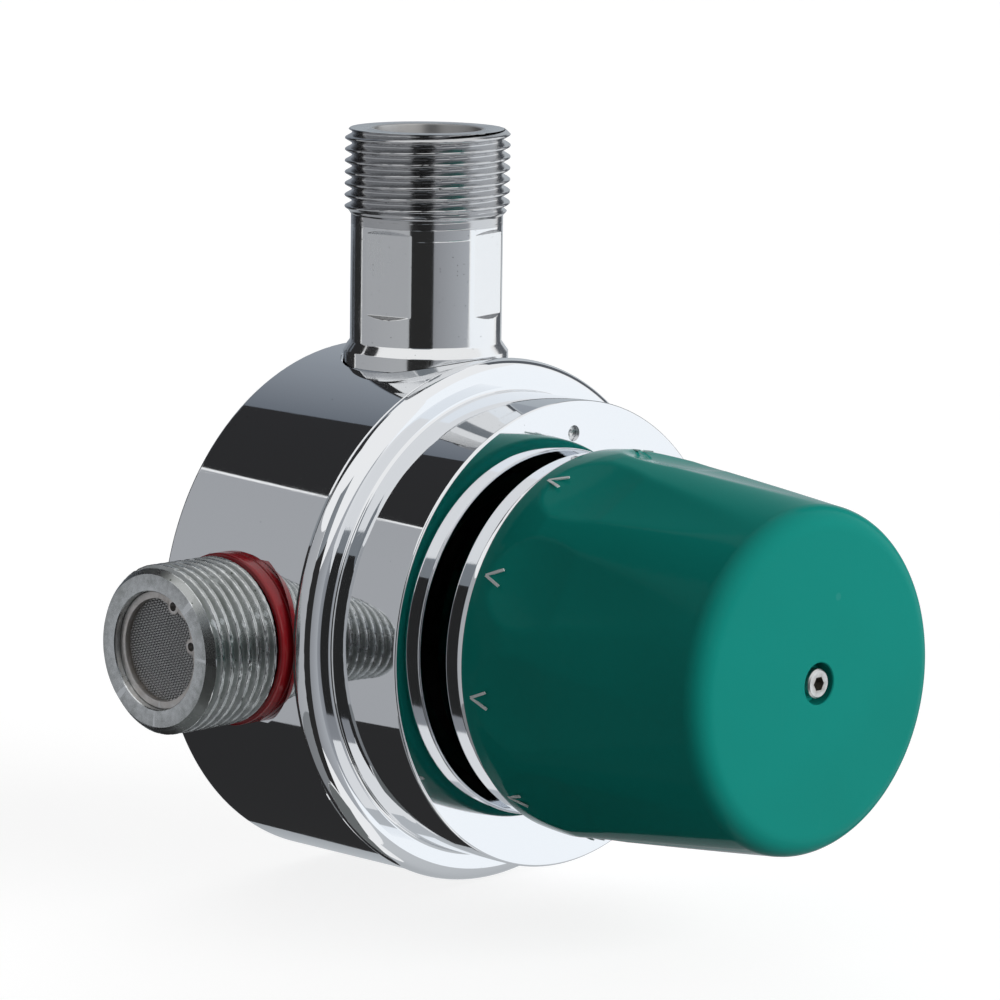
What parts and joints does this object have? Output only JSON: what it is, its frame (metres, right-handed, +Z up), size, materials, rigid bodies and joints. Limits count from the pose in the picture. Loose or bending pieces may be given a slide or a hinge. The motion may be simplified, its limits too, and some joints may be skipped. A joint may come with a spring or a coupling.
{
  "type": "wax cartridge water mixing valve",
  "caption": "Round chrome mixing valve with a fluted knob in front, hot and cold threaded inlets at its sides and a threaded mixed-water outlet on top.",
  "frame": {"origin": "centre of the flat back face of the drum", "axes": "+Y out of the back face, +Z up along the outlet, the hot inlet on -X and the cold inlet on +X"},
  "size_m": [0.115, 0.1014, 0.1189],
  "materials": {
    "chrome_body": "polished",
    "chrome_bonnet": "polished",
    "chrome_pipe": "polished",
    "chrome_trim": "polished",
    "nickel_pipe": "dull plated",
    "steel": "machined",
    "spring_steel": "drawn wire",
    "strainer_metal": "woven",
    "brass": "machined",
    "copper": "drawn",
    "rubber": "moulded",
    "seat_plastic": "moulded",
    "check_plastic": "moulded",
    "green_plastic": "glossy",
    "red_plastic": "glossy",
    "blue_plastic": "glossy"
  },
  "bodies": {
    "valve_body": {"drum_body": "chrome_body", "bonnet": "chrome_bonnet", "index_pin": "steel", "bonnet_o_ring": "rubber", "outlet_pipe": "chrome_pipe", "outlet_o_ring": "rubber", "cartridge_sleeve": "brass", "rear_sleeve_o_ring": "rubber", "middle_sleeve_o_ring": "rubber", "front_sleeve_o_ring": "rubber", "hot_seat": "seat_plastic", "cold_seat": "seat_plastic", "thrust_washer": "seat_plastic", "stop_ring": "brass", "return_spring": "spring_steel", "hot_inlet_pipe": "nickel_pipe", "hot_inlet_o_ring": "rubber", "hot_marker_ring": "red_plastic", "hot_strainer": "strainer_metal", "hot_check_body": "check_plastic", "hot_check_o_ring": "rubber", "hot_check_spring": "spring_steel", "cold_inlet_pipe": "nickel_pipe", "cold_inlet_o_ring": "rubber", "cold_marker_ring": "blue_plastic", "cold_strainer": "strainer_metal", "cold_check_body": "check_plastic", "cold_check_o_ring": "rubber", "cold_check_spring": "spring_steel"},
    "knob_group": {"spindle": "brass", "rear_spindle_o_ring": "rubber", "front_spindle_o_ring": "rubber", "spindle_clip": "spring_steel", "knob": "green_plastic", "knob_trim_ring": "chrome_trim", "knob_screw": "steel"},
    "regulator": {"regulating_nut": "brass", "overload_cup": "brass", "overload_spring": "spring_steel", "overload_clip": "spring_steel", "wax_piston": "steel"},
    "shuttle_group": {"shuttle": "brass", "shuttle_o_ring": "rubber", "wax_element": "copper"},
    "hot_check": {"hot_check_poppet": "check_plastic"},
    "cold_check": {"cold_check_poppet": "check_plastic"}
  },
  "joints": [
    {"name": "knob_turn", "type": "hinge", "parent": "valve_body", "child": "knob_group", "pos_m": [0, -0.078, 0], "axis": [0, -1, 0], "range_deg": [-150, 150]},
    {"name": "regulator_travel", "type": "slide", "parent": "valve_body", "child": "regulator", "axis": [0, 1, 0], "range_m": [-0.0004187, 0.0004187]},
    {"name": "shuttle_travel", "type": "slide", "parent": "regulator", "child": "shuttle_group", "axis": [0, 1, 0], "range_m": [-0.0003, 0.0003], "stiffness_N_per_m": 4000, "deforming": ["return_spring"]},
    {"name": "hot_check_lift", "type": "slide", "parent": "valve_body", "child": "hot_check", "axis": [1, 0, 0], "range_m": [0, 0.003], "stiffness_N_per_m": 150, "springref_m": -0.002, "deforming": ["hot_check_spring"]},
    {"name": "cold_check_lift", "type": "slide", "parent": "valve_body", "child": "cold_check", "axis": [-1, 0, 0], "range_m": [0, 0.003], "stiffness_N_per_m": 150, "springref_m": -0.002, "deforming": ["cold_check_spring"]}
  ],
  "couplings": [
    {"joint": "regulator_travel", "follows": "knob_turn", "m_per_rad": 0.00015915}
  ]
}
